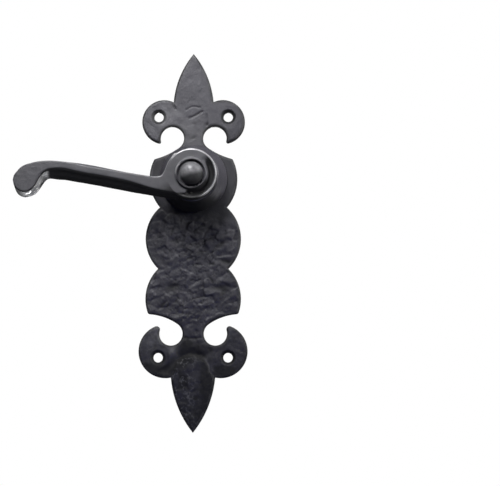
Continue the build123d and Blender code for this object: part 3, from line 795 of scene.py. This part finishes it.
def lever_wear_highlight_and_shade(points, normals):
    """Bright metal and painted shade on the lever. Bright, as wear and painted highlight: the boss's rim,
    the upward-facing corner above the arm, the upward-facing top edges and the side of the curled end.
    Painted shade: the downward-facing underside, the trough, the boss below its rim and under its chin."""
    x, z, depth = points[:, 0], points[:, 2], -points[:, 1]
    nx, ny, nz = normals.T
    radius, angle = np.hypot(x, z), np.degrees(np.arctan2(z, x))
    near_front = smooth_step(BOSS_FRONT - 1.5, BOSS_FRONT - 0.5, depth)
    # Bright metal on the boss's rim, the upward-facing corner and top edges and the curled end's side:
    # partly wear, mostly painted highlight and reflection.
    rim = smooth_step(14.6, 15.0, radius) * near_front
    rim *= smooth_step(-78, -50, angle) * smooth_step(150, 135, angle)
    upward = smooth_step(0.25, 0.6, np.maximum(0.86 * nz - 0.5 * nx, nz))
    corner_rim = smooth_step(11.0, 7.0, np.hypot(x + 16.3, z - 4.0)) * upward * near_front
    curl_side = smooth_step(-87.5, -90.5, x) * smooth_step(0.1, 0.45, 0.45 * nx - nz)
    curl_side *= smooth_step(0.93, 0.75, np.abs(ny))
    curl_side *= smooth_step(BOSS_FRONT - 0.9, BOSS_FRONT - 1.7, depth)
    top_edge = smooth_step(0.35, 0.8, nz) * smooth_step(BOSS_FRONT - 1.2, BOSS_FRONT - 0.3, depth)
    patchy = 0.85 + 0.4 * fractal(points, 5.0, 3, 0.4)
    wear_and_highlight = np.maximum.reduce([0.60 * rim, 0.70 * corner_rim, curl_side, 0.12 * top_edge]) * patchy

    # Painted shade on downward-facing surfaces, in the trough, below the boss's rim and under the boss's
    # chin.
    underside = smooth_step(-0.20, -0.45, nz) * (1 - curl_side)
    trough = smooth_step(0.5, 1.4, BOSS_FRONT - depth) * smooth_step(14.6, 14.0, radius)
    chin = smooth_step(-11.4, -12.4, z) * smooth_step(-24, -20, x) * smooth_step(12.0, 6.0, x)
    below_rim = smooth_step(15.0, 15.4, radius)
    below_rim *= smooth_step(-20, -50, angle) * smooth_step(-165, -140, angle)
    return wear_and_highlight, np.maximum.reduce([0.95 * underside, trough, 0.9 * below_rim, chin * (1 - rim)])


def lever():
    body = remesh(join("cast_lever", [lever_arm(), boss(), shoulder()]), VOXEL, SMOOTH_ROUNDS)
    verts, normals = vertex_array(body), normal_array(body)
    points = verts / MM
    ripple = 0.10 * fractal(points, 9.0, 3, 4.2) + 0.035 * fractal(points, 2.4, 3, 8.8)
    set_vertices(body, verts + normals * (ripple * MM)[:, None])
    wear_and_highlight, painted_shade = lever_wear_highlight_and_shade(points, normals)
    store(body, "wear_and_highlight", wear_and_highlight)
    store(body, "painted_shade", painted_shade)
    tail = neck()
    for name in ("wear_and_highlight", "painted_shade"):
        store(tail, name, np.zeros(len(tail.data.vertices)))
    return join("cast_lever", [body, tail])


def domed_cap():
    """Cast button: straight side, round shoulder, slightly flattened and dimpled crown."""
    radius = CAP_HIGH[0]
    seat, apex = BOSS_FRONT - 0.7, -CAP_LOW[1]
    side = seat + 0.26 * (apex - seat)
    arc = np.linspace(0, math.pi / 2, 26)
    profile = [(radius - 0.4, seat - 0.2), (radius, seat + 0.2), (radius, side)]
    profile += [(radius * math.cos(t) ** 0.92, side + (apex - side) * math.sin(t)) for t in arc[1:-1]]
    profile.append((0.05, apex))
    piece = spun("button_cap", profile, 140)
    points, normals = vertex_array(piece) / MM, normal_array(piece)
    crown = smooth_step(side, side + 1.0, -points[:, 1])
    dents = crown * (0.10 * fractal(points, 4.0, 3, 2.9) + 0.05 * fractal(points, 1.2, 2, 7.7))
    set_vertices(piece, (points + normals * (dents - 0.10 * crown)[:, None]) * MM)
    # Painted shade on the lower half and at the seat; the crown above it takes bright metal as wear and
    # painted highlight.
    shaded_lower_half = 0.92 * smooth_step(1.6, -2.4, points[:, 2] - 0.30 * points[:, 0])
    store(piece, "wear_and_highlight", crown * (1 - shaded_lower_half) * (0.16 + 0.10 * fractal(points, 2.5, 3, 5.9)))
    store(piece, "painted_shade", np.maximum(smooth_step(seat + 2.2, seat + 0.6, -points[:, 1]), shaded_lower_half))
    return piece


def collar():
    """The cone under the boss: a small foot bead, a straight side and a rounded top edge."""
    foot, back = COLLAR_HIGH[0], -COLLAR_HIGH[1]
    front = -COLLAR_LOW[1]
    top = foot - 4.7
    profile = [(15.5, back), (foot - 0.2, back), (foot, back + 0.5), (foot - 0.15, back + 1.3)]
    profile += [(foot - 0.2 - (foot - top - 0.2) * t, back + 1.4 + (front - back - 2.4) * t)
                for t in np.linspace(0.05, 1, 20)]
    profile += [(top - 0.25, front - 0.35), (top - 0.8, front), (10.6, front), (10.6, front - 3.5),
                (15.5, front - 3.6)]
    piece = spun("collar_cone", profile, 180)
    verts, normals = vertex_array(piece), normal_array(piece)
    ripple = 0.07 * fractal(verts / MM, 8.0, 3, 6.1)
    outside = np.hypot(verts[:, 0], verts[:, 2]) > 16 * MM
    set_vertices(piece, verts + normals * (ripple * outside * MM)[:, None])
    patchy = 3.0 * fractal(verts / MM, 6.0, 3, 14.5)
    store(piece, "wear_and_highlight", np.zeros(len(verts)))
    # Painted shade over the collar's lower side, with a broken edge.
    store(piece, "painted_shade", 0.97 * smooth_step(-6, -16, verts[:, 2] / MM + patchy) * outside)
    return piece


# ---------------------------------------------------------------- assembly
IRON_PLATE = black_iron("black_iron_plate", (0.0225, 0.0215, 0.0290), (0.046, 0.0445, 0.055),
                        rough=0.50, grain=900.0, grain_depth=0.00008)
IRON_LEVER = black_iron("black_iron_lever", (0.058, 0.057, 0.065), (0.078, 0.077, 0.086),
                        rough=0.42, grain=1300.0, grain_depth=0.00002)
IRON_COLLAR = black_iron("black_iron_collar", (0.050, 0.048, 0.058), (0.080, 0.077, 0.090),
                         rough=0.40, grain=1300.0, grain_depth=0.00003)
STEEL = turned_steel("plain_steel", (0.46, 0.46, 0.47), 0.45)
SPRING = turned_steel("spring_steel", (0.20, 0.19, 0.185), 0.40)
ZINC = turned_steel("zinc_plated", (0.20, 0.20, 0.21), 0.52, (300.0, 60.0, 300.0))
BRONZE = turned_steel("bearing_bronze", (0.62, 0.42, 0.20), 0.32)
BLACK_SCREW = turned_steel("black_screw", (0.05, 0.05, 0.05), 0.36)
NYLON = nylon("black_nylon")

for piece, body, node, slot, material in (
        (backplate(), "plate_assembly", "backplate", "cast_plate", IRON_PLATE),
        (collar(), "plate_assembly", "collar", "cast_collar", IRON_COLLAR),
        (lever(), "lever_assembly", "lever", "cast_lever", IRON_LEVER),
        (domed_cap(), "lever_assembly", "domed_cap", "cast_lever", IRON_LEVER)):
    piece.data.materials.clear()
    piece.data.materials.append(material)
    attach(piece, body)
    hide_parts(node)

for node, material in (("collar_bush", BRONZE), ("bearing_washer", NYLON), ("thrust_washer", STEEL),
                       ("return_spring", SPRING), ("cover_plate", ZINC), ("cover_screws", ZINC),
                       ("grub_screw", BLACK_SCREW), ("circlips", SPRING), ("drive_washer", STEEL),
                       ("spindle", STEEL)):
    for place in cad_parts[node].material_slots:
        place.material = material


# ---------------------------------------------------------------- stage, light and camera
FLOOR_SIDE = 1.1            # metres, like everything in this part
FLOOR_BELOW_PLATE = 0.40


def floor():
    bpy.ops.mesh.primitive_plane_add(size=FLOOR_SIDE, location=(0, 0, PLATE_LOW[2] * MM - FLOOR_BELOW_PLATE))
    plane = bpy.context.object
    plane.name = "studio_floor"
    material, nodes, links, shader = new_material("pale_floor")
    place = nodes.new("ShaderNodeTexCoord").outputs["Object"]
    mottle = noise_node(nodes, links, place, 9.0)
    links.new(ramp_node(nodes, links, mottle, [(0.3, (0.80,) * 3), (0.7, (0.84,) * 3)]),
              shader.inputs["Base Color"])
    shader.inputs["Roughness"].default_value = 0.7
    plane.data.materials.append(material)


def area_light(name, place, aim, size, watts, spread=180.0, colour=(1.0, 1.0, 1.0)):
    light = bpy.data.lights.new(name, "AREA")
    light.color = colour
    light.shape = "DISK"
    light.size = size
    light.energy = watts
    light.spread = math.radians(spread)
    lamp = bpy.data.objects.new(name, light)
    lamp.location = place
    lamp.rotation_euler = (Vector(aim) - Vector(place)).to_track_quat("-Z", "Y").to_euler()
    bpy.context.collection.objects.link(lamp)


def studio():
    world = bpy.data.worlds.new("studio")
    bpy.context.scene.world = world
    world.use_nodes = True
    nodes, links = world.node_tree.nodes, world.node_tree.links
    back = nodes["Background"]
    path = nodes.new("ShaderNodeLightPath")
    way = nodes.new("ShaderNodeSeparateXYZ")
    links.new(nodes.new("ShaderNodeTexCoord").outputs["Generated"], way.inputs[0])
    sky = nodes.new("ShaderNodeMapRange")
    sky.interpolation_type = "SMOOTHSTEP"
    for socket, value in (("From Min", -0.25), ("From Max", 0.9), ("To Min", 0.0), ("To Max", 0.12)):
        sky.inputs[socket].default_value = value
    links.new(way.outputs["Z"], sky.inputs["Value"])
    strength = mix_value(nodes, links, path.outputs["Is Camera Ray"], sky.outputs[0], 1.0)
    links.new(strength, back.inputs["Strength"])
    tint = mix_colour(nodes, links, path.outputs["Is Camera Ray"], (0.80, 0.86, 1.0), (1.0, 1.0, 1.0))
    links.new(tint, back.inputs["Color"])
    area_light("key", (-0.10, -0.30, 0.32), (0, 0, 0), size=0.20, watts=1.00)
    area_light("upper_key", (-0.10, -0.30, 0.32), (-0.06, 0, 0.09), size=0.20, watts=0.24, spread=70)
    area_light("far_softbox", (-0.05, -0.90, 0.35), (-0.04, 0, 0.11), size=0.25, watts=0.085, spread=25)
    area_light("overhead", (0, -0.16, 0.42), (0, -0.03, 0), size=0.20, watts=0.08)
    area_light("right_side", (0.40, -0.12, 0.10), (0, -0.02, 0), size=0.20, watts=0.20, spread=60)
    area_light("under_grip", (-0.070, -0.06, -0.17), (-0.103, -0.028, -0.010), size=0.02, watts=0.0008,
               spread=11)
    area_light("low_fill", (0.02, -0.45, -0.42), (0, 0, -0.135), size=0.20, watts=0.012, spread=24,
               colour=(0.22, 0.25, 1.0))
    area_light("behind", (-0.036, 0.80, 0.006), (0, 0, -0.04), size=0.07, watts=1.60)
    area_light("rear_low", (0.40, 0.30, -0.22), (0, 0, -0.05), size=0.25, watts=0.24)


def camera():
    """At the height of the plate's lower end, looking slightly up, from a little to its right."""
    distance = 1.15
    width_in_view = 0.3165
    elevation, azimuth = math.radians(-4.5), math.radians(0.75)
    target = Vector((0.0358, 0, -0.0405))
    data = bpy.data.cameras.new("camera")
    data.sensor_width = 36.0
    data.lens = data.sensor_width * distance / width_in_view
    eye = bpy.data.objects.new("camera", data)
    level = math.cos(elevation)
    way = Vector((math.sin(azimuth) * level, -math.cos(azimuth) * level, math.sin(elevation)))
    eye.location = target + distance * way
    eye.rotation_euler = (target - eye.location).to_track_quat("-Z", "Y").to_euler()
    bpy.context.collection.objects.link(eye)
    bpy.context.scene.camera = eye


floor()
studio()
camera()
bpy.context.scene.view_settings.view_transform = "Standard"
